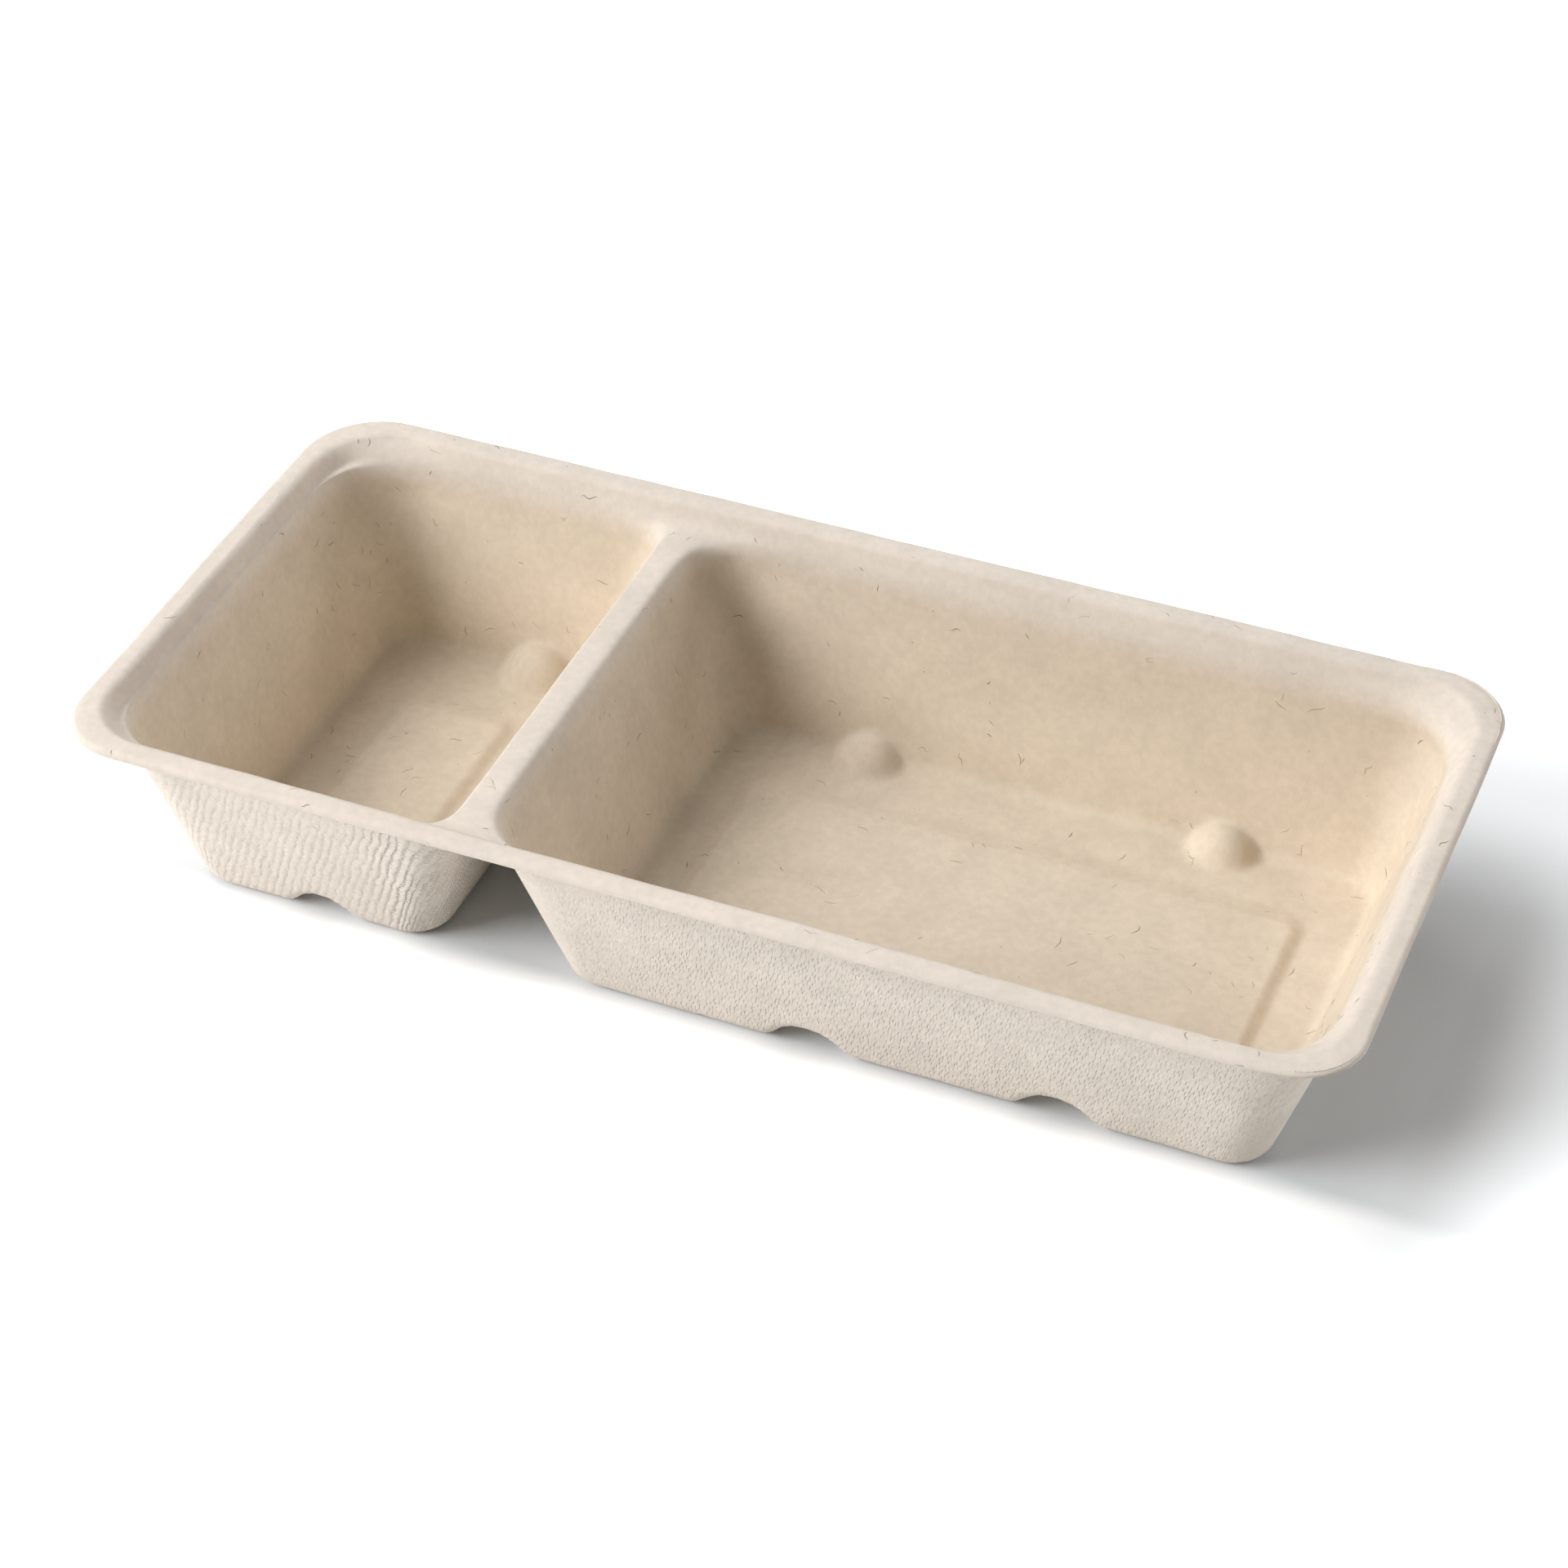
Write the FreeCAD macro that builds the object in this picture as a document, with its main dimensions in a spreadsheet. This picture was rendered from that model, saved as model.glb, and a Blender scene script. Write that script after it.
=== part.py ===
"""Bagasse chip tray: one moulded-pulp piece with a dip well and a chip well under one rim.

The tray is one sheet of pulp of even thickness.  It is made here as an outer form, which the
underside follows, less a food form, which the food side follows.  Both forms are lofts between
level rounded rectangles, so every wall leans outwards as it does in a mould.

Frame: millimetres, +Z up, origin on the table under the middle of the rim, +X along the length
from the dip well to the chip well, +Y to the back.
"""
import FreeCAD, Part
import math
import os
import Sketcher

SIZES = (
    # name, value, what it is
    ("rim_length", 226.0, "rim, edge to edge along X"),
    ("rim_width", 107.1, "rim, edge to edge along Y"),
    ("tray_height", 38.5, "table to the top of the rim"),
    ("paper", 0.9, "thickness of the pulp sheet"),
    ("corner_dip_front", 12.0, "rim corner radius, dip end, front"),
    ("corner_dip_back", 15.5, "rim corner radius, dip end, back"),
    ("corner_chip_back", 13.0, "rim corner radius, chip end, back"),
    ("corner_chip_front", 11.5, "rim corner radius, chip end, front"),
    ("lip_drop", 1.7, "depth of the rim's turned-down edge"),
    ("lip_round", 1.3, "rounding over the rim's outer edge"),
    ("step_inset", 4.4, "rim edge to the top of the lid step"),
    ("step_run", 1.5, "how far the lid step slopes inwards"),
    ("step_drop", 3.2, "rim top down to the ledge"),
    ("step_corner_ease", 3.6, "how much rounder the lid step's corners are than a plain offset's"),
    ("ledge_width", 0.5, "foot of the lid step to the edge of a well"),
    ("wall_lean", 0.30, "run of a well's walls per millimetre of depth"),
    ("long_wall_lean", 0.288, "the same for the front and back walls"),
    ("dip_divider_lean", 0.26, "the same for the dip well's wall under the divider"),
    ("dip_divider_corner", 6.5, "plan radius of the dip well's corners beside the divider"),
    ("chip_divider_corner", 10.5, "plan radius of the chip well's corners beside the divider"),
    ("floor_corner", 6.0, "plan radius of a well's corners at the floor"),
    ("floor_round", 2.6, "rounding between wall and floor, food side"),
    ("divider_from_end", 74.1, "rim's dip end to the middle of the divider, along X"),
    ("divider_width", 5.8, "divider between the edges of the wells"),
    ("crest_round", 2.3, "rounding where the rim turns down into the lid step"),
    ("edge_round", 0.8, "rounding at the foot of the lid step and over the edges of the wells"),
    ("dip_panel_end_margin", 11.0, "dip well's floor end to the foot of its raised panel"),
    ("dip_panel_side_margin", 13.8, "the same, floor side"),
    ("chip_panel_end_margin", 8.5, "chip well's floor end to the foot of its raised panel"),
    ("chip_panel_side_margin", 11.8, "the same, floor side"),
    ("panel_rise", 1.2, "height of the raised floor panels"),
    ("panel_slope", 2.8, "run of the panels' sloping edges, floor end"),
    ("panel_side_slope", 5.0, "the same, floor side"),
    ("panel_corner", 5.0, "plan radius of the panels' corners at their foot"),
    ("large_lug_foot_radius", 7.5, "large stacking lug, radius at the floor"),
    ("large_lug_top_radius", 4.7, "large stacking lug, radius at its top"),
    ("large_lug_height", 5.7, "large stacking lug, floor to top"),
    ("small_lug_foot_radius", 6.4, "small stacking lug, radius at the floor"),
    ("small_lug_top_radius", 4.0, "small stacking lug, radius at its top"),
    ("small_lug_height", 4.8, "small stacking lug, floor to top"),
    ("lug_round", 3.0, "rounding over the lug's top, food side"),
    ("lug_dip_front", 2.0, "lug from the middle of the dip well, front wall"),
    ("lug_dip_back", 8.2, "the same, back wall"),
    ("lug_chip_front_left", -16.3, "lug from the middle of the chip well, front wall, left"),
    ("lug_chip_front_right", 27.3, "the same, front wall, right"),
    ("lug_chip_back_left", -34.4, "the same, back wall, left"),
    ("lug_chip_back_right", 32.6, "the same, back wall, right"),
)

# Going round from the front left corner: front right, back right, back left.
RIM_CORNERS = ("corner_dip_front", "corner_chip_front", "corner_chip_back", "corner_dip_back")

# Rules on the sheet, in the words of its aliases.
TOP = "Sizes.tray_height"
LEDGE = "(Sizes.tray_height - Sizes.step_drop)"
RIM_END = "Sizes.rim_length / 2"
RIM_SIDE = "Sizes.rim_width / 2"
WELL_INSET = "(Sizes.step_inset + Sizes.step_run + Sizes.ledge_width)"
DIVIDER_PLACE = "(Sizes.divider_from_end - Sizes.rim_length / 2)"
STEP_LEAN = "(Sizes.step_run / Sizes.step_drop)"
# The sheet's thickness measured level, through a leaning wall and through the lid step.
LEVEL_WALL = "Sizes.paper * sqrt(1 + Sizes.wall_lean ^ 2)"
LEVEL_STEP = "Sizes.paper * sqrt(1 + (Sizes.step_run / Sizes.step_drop) ^ 2)"

TOLERANCE = 0.01
FILLET_SHARE = 0.95  # of the ledge, the most that the roundings at its two edges may take

doc = FreeCAD.newDocument("ChipTray")


def write_sheet():
    """The driving sizes: one row each, with its name, its value and its meaning."""
    sheet = doc.addObject("Spreadsheet::Sheet", "Sizes")
    for row, (name, value, meaning) in enumerate(SIZES, start=1):
        sheet.set("A%d" % row, name)
        sheet.set("B%d" % row, str(value))
        sheet.set("C%d" % row, meaning)
        sheet.setAlias("B%d" % row, name)
    doc.recompute()


def outline(name, height, left, right, half_width, corners):
    """A level rounded rectangle.

    The four corner rules go round from the front left corner to the front right, the back right
    and the back left.  All places and radii are expressions.
    """
    sketch = doc.addObject("Sketcher::SketchObject", name)
    sketch.setExpression("Placement.Base.z", height)
    half_x, half_y, radius = 50, 30, 5  # only until the constraints take hold
    points = [(-half_x, -half_y), (half_x, -half_y), (half_x, half_y), (-half_x, half_y)]
    runs = [(1, 0), (0, 1), (-1, 0), (0, -1)]
    lines = []
    arcs = []
    for side, (run_x, run_y) in enumerate(runs):
        x0, y0 = points[side]
        x1, y1 = points[(side + 1) % 4]
        start = FreeCAD.Vector(x0 + radius * run_x, y0 + radius * run_y, 0)
        end = FreeCAD.Vector(x1 - radius * run_x, y1 - radius * run_y, 0)
        lines.append(sketch.addGeometry(Part.LineSegment(start, end)))
        centre = FreeCAD.Vector(x0 + radius * (run_x - run_y), y0 + radius * (run_y + run_x), 0)
        circle = Part.Circle(centre, FreeCAD.Vector(0, 0, 1), radius)
        turn = math.pi * (1 + side / 2)
        arcs.append(sketch.addGeometry(Part.ArcOfCircle(circle, turn, turn + math.pi / 2)))
    for side in range(4):
        sketch.addConstraint(Sketcher.Constraint("Tangent", lines[side - 1], 2, arcs[side], 1))
        sketch.addConstraint(Sketcher.Constraint("Tangent", arcs[side], 2, lines[side], 1))
        direction = "Horizontal" if side % 2 == 0 else "Vertical"
        sketch.addConstraint(Sketcher.Constraint(direction, lines[side]))
    places = (
        ("DistanceY", lines[0], -half_y, "-(%s)" % half_width),
        ("DistanceX", lines[1], half_x, right),
        ("DistanceY", lines[2], half_y, half_width),
        ("DistanceX", lines[3], -half_x, left),
    )
    for kind, line, value, rule in places:
        index = sketch.addConstraint(Sketcher.Constraint(kind, -1, 1, line, 1, value))
        sketch.setExpression("Constraints[%d]" % index, rule)
    for arc, rule in zip(arcs, corners):
        index = sketch.addConstraint(Sketcher.Constraint("Radius", arc, radius))
        sketch.setExpression("Constraints[%d]" % index, rule)
    return sketch


def loft(name, low, high):
    """A solid with straight walls between two outlines."""
    body = doc.addObject("Part::Loft", name)
    body.Sections = [low, high]
    body.Solid = True
    body.Ruled = True
    return body


def rim_outline(name, height, inset, ease="0"):
    """The rim's outline, moved in by the same distance all round; ease makes its corners rounder."""
    return outline(
        name, height,
        left="-(%s - (%s))" % (RIM_END, inset),
        right="%s - (%s)" % (RIM_END, inset),
        half_width="%s - (%s)" % (RIM_SIDE, inset),
        corners=["Sizes.%s - (%s) + %s" % (corner, inset, ease) for corner in RIM_CORNERS],
    )


def flange():
    """The rim: a sheet with a turned-down, rounded edge."""
    foot = "%s - Sizes.lip_drop" % TOP
    plate = loft("RimPlate", rim_outline("RimFoot", foot, "0"), rim_outline("RimTop", TOP, "0"))
    hollow = loft(
        "RimHollow",
        rim_outline("HollowFoot", "%s - Sizes.lip_drop" % foot, "Sizes.paper"),
        rim_outline("HollowTop", "%s - Sizes.paper" % TOP, "Sizes.paper"),
    )
    doc.recompute()
    rounded = fillet("RimRounded", plate, edges_at(plate, size("tray_height")), size("lip_round"))
    return cut("Rim", rounded, hollow)


def step_form(name, grow, high, low):
    """The part of a form inside the lid step; grow is how far it stands out of the food side."""
    inset = "Sizes.step_inset + %s * (%s - (%%s)) - (%s)" % (STEP_LEAN, TOP, grow)
    return loft(
        name,
        rim_outline(name + "Low", low, inset % low, "Sizes.step_corner_ease"),
        rim_outline(name + "High", high, inset % high, "Sizes.step_corner_ease"),
    )


class Well:
    """One well's level outline on the food side, as rules of the height."""

    def __init__(self, name, rim_side, divider_lean):
        self.name = name
        self.rim_side = rim_side
        self.divider_lean = divider_lean

    def own_size(self, meaning):
        """A size that the two wells have one each of."""
        return "Sizes.%s_%s" % (self.name, meaning)

    def ends(self, height, grow):
        """The well's end at the rim and its end at the divider, along X."""
        depth = "(%s - (%s))" % (LEDGE, height)
        at_rim = "(%s - %s - Sizes.wall_lean * %s + %s)" % (RIM_END, WELL_INSET, depth, grow)
        at_divider = "(Sizes.divider_width / 2 + %s * %s - %s)" % (self.divider_lean, depth, grow)
        if self.rim_side == "left":
            return "-" + at_rim, "%s - %s" % (DIVIDER_PLACE, at_divider)
        return "%s + %s" % (DIVIDER_PLACE, at_divider), at_rim

    def half_width(self, height, grow):
        depth = "(%s - (%s))" % (LEDGE, height)
        return "%s - %s - Sizes.long_wall_lean * %s + %s" % (RIM_SIDE, WELL_INSET, depth, grow)

    def middle(self):
        """The middle of the well's floor along X."""
        left, right = self.ends("Sizes.paper", "0")
        return "((%s) + (%s)) / 2" % (left, right)

    def ledge_corners(self):
        """Radii at the ledge: those of the rim corners above, and the well's own by the divider."""
        beside_rim = (0, 3) if self.rim_side == "left" else (1, 2)
        rules = []
        for corner, rim_corner in enumerate(RIM_CORNERS):
            if corner in beside_rim:
                rules.append("Sizes.%s" % rim_corner)
            else:
                rules.append(self.own_size("divider_corner"))
        return rules

    def level(self, name, height, grow, corners):
        left, right = self.ends(height, grow)
        grown = ["%s + %s" % (corner, grow) for corner in corners]
        return outline(self.name + name, height, left, right, self.half_width(height, grow), grown)

    def form(self, name, high, low, grow):
        """The well as a solid between two heights."""
        return loft(
            self.name + name,
            self.level(name + "Low", low, grow, ["Sizes.floor_corner"] * 4),
            self.level(name + "High", high, grow, self.ledge_corners()),
        )

    def panel(self, name, low, high):
        """The floor's raised panel as a solid between two heights, wider at its foot."""
        left, right = self.ends("Sizes.paper", "0")
        levels = []
        insets = (("Low", low, "0", "0"), ("High", high, "Sizes.panel_slope", "Sizes.panel_side_slope"))
        for label, height, end_inset, side_inset in insets:
            end = "(%s + %s)" % (self.own_size("panel_end_margin"), end_inset)
            side = "(%s + %s)" % (self.own_size("panel_side_margin"), side_inset)
            levels.append(outline(
                self.name + name + label, height,
                left="%s + %s" % (left, end),
                right="%s - %s" % (right, end),
                half_width="%s - %s" % (self.half_width("Sizes.paper", "0"), side),
                corners=["Sizes.panel_corner"] * 4,
            ))
        return loft(self.name + name, *levels)


DIP_WELL = Well("dip", "left", "Sizes.dip_divider_lean")
CHIP_WELL = Well("chip", "right", "Sizes.wall_lean")

# Each stacking lug: its well, its place along X in the sheet, its wall (-1 front, 1 back)
# and which of the two sizes it has.
LUGS = (
    (DIP_WELL, "lug_dip_front", -1, "small"),
    (DIP_WELL, "lug_dip_back", 1, "large"),
    (CHIP_WELL, "lug_chip_front_left", -1, "large"),
    (CHIP_WELL, "lug_chip_front_right", -1, "large"),
    (CHIP_WELL, "lug_chip_back_left", 1, "small"),
    (CHIP_WELL, "lug_chip_back_right", 1, "small"),
)


def size(name):
    return doc.Sizes.get(name)


def edges_at(part, height, lowest=None, highest=None):
    """Numbers, from one, of a part's level edges at a height.

    With lowest or highest, only those with a face beside them that reaches past it.
    """
    numbers = []
    for number, edge in enumerate(part.Shape.Edges, start=1):
        box = edge.BoundBox
        if abs(box.ZMin - height) > TOLERANCE or abs(box.ZMax - height) > TOLERANCE:
            continue
        faces = [face.BoundBox for face in part.Shape.ancestorsOfType(edge, Part.Face)]
        if lowest is not None and min(face.ZMin for face in faces) > lowest + TOLERANCE:
            continue
        if highest is not None and max(face.ZMax for face in faces) < highest - TOLERANCE:
            continue
        numbers.append(number)
    return numbers


def fillet(name, base, edges, radius):
    """Round the numbered edges of a part."""
    rounded = doc.addObject("Part::Fillet", name)
    rounded.Base = base
    rounded.Edges = [(number, radius, radius) for number in edges]
    doc.recompute()
    return rounded


def cut(name, base, tool):
    result = doc.addObject("Part::Cut", name)
    result.Base = base
    result.Tool = tool
    return result


def fuse(name, parts):
    result = doc.addObject("Part::MultiFuse", name)
    result.Shapes = parts
    return result


def floor_rounded(form, height, radius):
    """A well's form with its lower edge rounded."""
    doc.recompute()
    return fillet(form.Name + "Rounded", form, edges_at(form, height), radius)


def lugs(name, foot, shrink, round_over):
    """The stacking lugs as cones on the foot of the walls, all moved in by shrink."""
    cones = []
    for well, place, side, lug_size in LUGS:
        cone = doc.addObject("Part::Cone", "%s_%s" % (name, place))
        cone.setExpression("Radius1", "Sizes.%s_lug_foot_radius - %s" % (lug_size, shrink))
        cone.setExpression("Radius2", "Sizes.%s_lug_top_radius - %s" % (lug_size, shrink))
        cone.setExpression("Height", "Sizes.%s_lug_height" % lug_size)
        cone.setExpression("Placement.Base.x", "%s + Sizes.%s" % (well.middle(), place))
        cone.setExpression("Placement.Base.y", "%d * (%s)" % (side, well.half_width("Sizes.paper", "0")))
        cone.setExpression("Placement.Base.z", foot)
        doc.recompute()
        top = edges_at(cone, cone.Placement.Base.z + size("%s_lug_height" % lug_size))
        cones.append(fillet(cone.Name + "_round", cone, top, round_over))
    return fuse(name, cones)


def outer_form():
    """Everything inside the underside of the tray, with the recesses under its lugs and panels."""
    paper = size("paper")
    underside_of_rim = "%s - Sizes.paper / 2" % TOP
    underside_of_ledge = "%s - Sizes.paper" % LEDGE
    pieces = [flange(), step_form("StepOuter", LEVEL_STEP, underside_of_rim, underside_of_ledge)]
    for well in (DIP_WELL, CHIP_WELL):
        form = well.form("Outer", "%s - Sizes.paper / 2" % LEDGE, "0", LEVEL_WALL)
        pieces.append(floor_rounded(form, 0, size("floor_round") + paper))
    whole = fuse("OuterForm", pieces)
    recesses = [lugs("LugRecesses", "0", LEVEL_WALL, size("lug_round") - paper)]
    for well in (DIP_WELL, CHIP_WELL):
        recesses.append(well.panel("PanelRecess", "0", "Sizes.panel_rise"))
    return cut("OuterFormRecessed", whole, fuse("Recesses", recesses))


def food_form():
    """The space that food can fill: the lid step and both wells, less the lugs and panels."""
    pieces = [step_form("StepFood", "0", "%s + Sizes.paper" % TOP, LEDGE)]
    for well in (DIP_WELL, CHIP_WELL):
        form = well.form("Food", "%s + Sizes.paper / 2" % LEDGE, "Sizes.paper", "0")
        pieces.append(floor_rounded(form, size("paper"), size("floor_round")))
    whole = fuse("FoodForm", pieces)
    bumps = [lugs("Lugs", "Sizes.paper", "0", size("lug_round"))]
    for well in (DIP_WELL, CHIP_WELL):
        bumps.append(well.panel("Panel", "Sizes.paper", "Sizes.paper + Sizes.panel_rise"))
    return cut("FoodFormBumped", whole, fuse("Bumps", bumps))


def ledge_round():
    """The edge rounding, no larger than lets the roundings at both edges of the ledge fit on it."""
    wall_turn = math.pi / 2 - math.atan(size("wall_lean"))
    step_turn = math.pi / 2 - math.atan(size("step_run") / size("step_drop"))
    largest = size("ledge_width") / (math.tan(wall_turn / 2) + math.tan(step_turn / 2))
    return min(size("edge_round"), FILLET_SHARE * largest)


def tray():
    """The moulded sheet, with the edges of its rim, ledge and divider rounded."""
    sheet = cut("MouldedSheet", outer_form(), food_form())
    doc.recompute()
    rim_top = size("tray_height")
    ledge = rim_top - size("step_drop")
    crest = fillet("CrestRounded", sheet, edges_at(sheet, rim_top, lowest=ledge), size("crest_round"))
    edges = edges_at(crest, ledge, lowest=ledge - size("paper"))
    edges += edges_at(crest, ledge, highest=rim_top - size("crest_round"))
    rounded = fillet("Tray", crest, edges, ledge_round())
    rounded.Label = "tray"
    return rounded


def check(parts):
    """Stop if any object failed or any sub-part is not one sound solid."""
    for item in doc.Objects:
        if "Invalid" in item.State or "Error" in item.State:
            raise RuntimeError("%s failed: %s" % (item.Label, item.State))
    for part in parts:
        shape = part.Shape
        if shape.isNull() or not shape.isValid() or len(shape.Solids) != 1:
            raise RuntimeError("%s is not one sound solid" % part.Label)


write_sheet()
parts = [tray()]
doc.recompute()
check(parts)
os.makedirs("parts", exist_ok=True)
for part in parts:
    part.Shape.exportStep("parts/%s.step" % part.Label)
    print(part.Label, "volume", round(part.Shape.Volume), "area", round(part.Shape.Area))
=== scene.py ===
import math

import bpy
import numpy as np
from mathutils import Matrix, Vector


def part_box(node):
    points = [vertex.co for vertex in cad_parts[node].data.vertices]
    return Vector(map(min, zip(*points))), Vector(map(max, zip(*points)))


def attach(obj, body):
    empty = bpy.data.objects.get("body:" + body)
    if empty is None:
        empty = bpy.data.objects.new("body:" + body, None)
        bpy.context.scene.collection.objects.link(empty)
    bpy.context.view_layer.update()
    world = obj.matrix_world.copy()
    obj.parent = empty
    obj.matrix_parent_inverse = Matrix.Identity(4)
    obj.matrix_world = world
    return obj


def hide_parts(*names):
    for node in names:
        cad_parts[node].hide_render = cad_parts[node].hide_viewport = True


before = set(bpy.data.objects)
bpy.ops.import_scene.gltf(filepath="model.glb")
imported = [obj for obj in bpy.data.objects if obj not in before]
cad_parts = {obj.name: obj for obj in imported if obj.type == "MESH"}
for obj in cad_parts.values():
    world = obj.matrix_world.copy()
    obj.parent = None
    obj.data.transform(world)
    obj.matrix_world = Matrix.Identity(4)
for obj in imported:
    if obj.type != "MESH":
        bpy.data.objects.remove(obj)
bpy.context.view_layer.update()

# Sizes of the tray are in millimetres, on its food side, and become metres when its mesh is made.
MM = 0.001
TRAY_LOW, TRAY_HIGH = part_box("tray")

HALF_LENGTH = (TRAY_HIGH.x - TRAY_LOW.x) / 2 / MM
HALF_WIDTH = (TRAY_HIGH.y - TRAY_LOW.y) / 2 / MM
TRAY_TOP = TRAY_HIGH.z / MM
PAPER = 0.9
RIM_CORNERS = (12.0, 11.5, 13.0, 15.5)

# The rim, from the lip's cut edge inwards to the mouths of the wells.
LIP_DROP = 1.7
LIP_ROUND = 1.3
STEP_INSET = 4.4
STEP_RUN = 1.5
STEP_DROP = 3.2
STEP_CORNER_EASE = 3.6
FLAT_BEFORE_CREST = 0.6
CREST_REACH = 1.5
STEP_FOOT_REACH = 0.22
LEDGE_WIDTH = 0.5
LEDGE = TRAY_TOP - STEP_DROP
RIM_TO_MOUTH = STEP_INSET + STEP_RUN + LEDGE_WIDTH

# The wells. A lean is how far a wall runs inwards for each millimetre down.
FLOOR = PAPER
END_WALL_LEAN = 0.30
LONG_WALL_LEAN = 0.288
DIVIDER_LEAN = 0.26
WALL_RUN = END_WALL_LEAN * (LEDGE - FLOOR)
LONG_WALL_RUN = LONG_WALL_LEAN * (LEDGE - FLOOR)
DIVIDER_RUN = DIVIDER_LEAN * (LEDGE - FLOOR)
DIVIDER_DIP_EDGE = -41.8
DIVIDER_CHIP_EDGE = -36.0
DIP_DIVIDER_CORNER = 6.5
CHIP_DIVIDER_CORNER = 10.5
FLOOR_CORNER = 6.0
FLOOR_ROUND = 2.6
MOUTH_EDGE_REACH = 0.24
CHIP_DIVIDER_EDGE_REACH = 1.3

PANEL_RISE = 1.2
PANEL_SLOPE = 2.8
PANEL_SIDE_SLOPE = 5.0
PANEL_CORNER = 5.0

# Each size of stacking lug: its radius at the floor and its height.
LARGE_LUG = (7.6, 5.7)
SMALL_LUG = (6.6, 4.8)
LUG_FULLNESS = 2.4
LUG_MELT = 1.5

# The stretch of a side round each lug where its points stand closer together.
LUG_ZONE = 19.0
LUG_ZONE_FADE = 0.8
LUG_COLUMNS = 24

# Where the lid step runs softly into the wells, and how softly: past an end and a side, and in a
# band of heights round the ledge that fades out at its bottom and top.
SOFT_END = 98.0
SOFT_SIDE = 41.0
SOFT_FADE = 3.0
SOFT_BELOW_LEDGE = 3.5
SOFT_BOTTOM_FADE = 1.5
SOFT_ABOVE_LEDGE = 2.4
SOFT_TOP_FADE = 0.8
SOFT_LEAST = 0.15
SOFT_SHARE = 0.5
SOFT_ROUNDS = 70

# How the sheet wanders as it dries: how far, over what length, and the seed of its waves.
DRIFTS = ((0.10, 46.0, 3), (0.05, 15.0, 7))
WAVES = 6
WAVE_LENGTHS = (0.7, 1.5)
CUT_EDGE_SAG = 0.2

# How finely the sheet is divided.
ARC_STEPS = 12
LIP_STEPS = 6
CREST_STEPS = 9
STEP_FOOT_STEPS = 4
SIDE_ROWS = 36
DIVIDER_STRIPS = 8
EDGE_RINGS = 5
WALL_RINGS = 8
FOOT_RINGS = 30
SLOPE_RINGS = 5
FOOT_TOP = 12.0
FOOT_SAMPLES = 24
CHANNEL_SAMPLES = 40
SIDE_SAMPLES = 2001

# The share of the foot's rings that still carries the wall's wire pattern.
PATTERN_SHARE = 0.62


# ---- the sheet's outlines

def quarter(centre_x, centre_y, radius, start):
    """The points inside a quarter turn, without its ends, and which way each faces."""
    turn = start + np.linspace(0, math.pi / 2, ARC_STEPS + 1)[1:-1]
    facing = np.stack([np.cos(turn), np.sin(turn)], axis=1)
    return np.array([centre_x, centre_y]) + radius * facing, facing


def straight(xs, ys, facing):
    """The points of a straight side and the way it faces."""
    points = np.stack(np.broadcast_arrays(xs, ys), axis=1).astype(float)
    return points, np.tile(np.array(facing, float), (len(points), 1))


def outline(box, corners, along_front, along_back):
    """A rounded outline, counter-clockwise from the left end of its front side: points and facings.

    along_front and along_back turn the straight run of a side into its places, left to right.
    """
    left, right, front, back = box
    front_left, front_right, back_right, back_left = corners
    front_places = along_front(left + front_left, right - front_right)
    back_places = along_back(left + back_left, right - back_right)
    right_places = np.linspace(front + front_right, back - back_right, SIDE_ROWS + 1)
    left_places = np.linspace(front + front_left, back - back_left, SIDE_ROWS + 1)
    runs = [
        straight(front_places, front, (0, -1)),
        quarter(right - front_right, front + front_right, front_right, -math.pi / 2),
        straight(right, right_places, (1, 0)),
        quarter(right - back_right, back - back_right, back_right, 0),
        straight(back_places[::-1], back, (0, 1)),
        quarter(left + back_left, back - back_left, back_left, math.pi / 2),
        straight(left, left_places[::-1], (-1, 0)),
        quarter(left + front_left, front + front_left, front_left, math.pi),
    ]
    return np.concatenate([run[0] for run in runs]), np.concatenate([run[1] for run in runs])


def places_round_lugs(floor, lugs, columns):
    """Turns the straight run of a side into its places, closer together where the wall's lugs are."""
    start = floor[0] + FLOOR_CORNER
    end = floor[1] - FLOOR_CORNER
    places = np.linspace(start, end, SIDE_SAMPLES)
    plain = (end - start - LUG_ZONE * len(lugs)) / (columns - LUG_COLUMNS * len(lugs))
    crowding = np.full(places.shape, 1 / plain)
    for lug, _ in lugs:
        near = 1 / (1 + np.exp((np.abs(places - lug) - LUG_ZONE / 2) / LUG_ZONE_FADE))
        crowding += near * (LUG_COLUMNS / LUG_ZONE - 1 / plain)
    count = np.concatenate([[0], np.cumsum((crowding[1:] + crowding[:-1]) / 2)])
    count /= count[-1]
    shares = (np.interp(np.linspace(0, 1, columns + 1), count, places) - start) / (end - start)
    return lambda low, high: low + (high - low) * shares


def grown(box, ends, sides):
    """A box made longer at both ends and wider at both sides, or smaller where a width is negative."""
    return (box[0] - ends, box[1] + ends, box[2] - sides, box[3] + sides)


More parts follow.
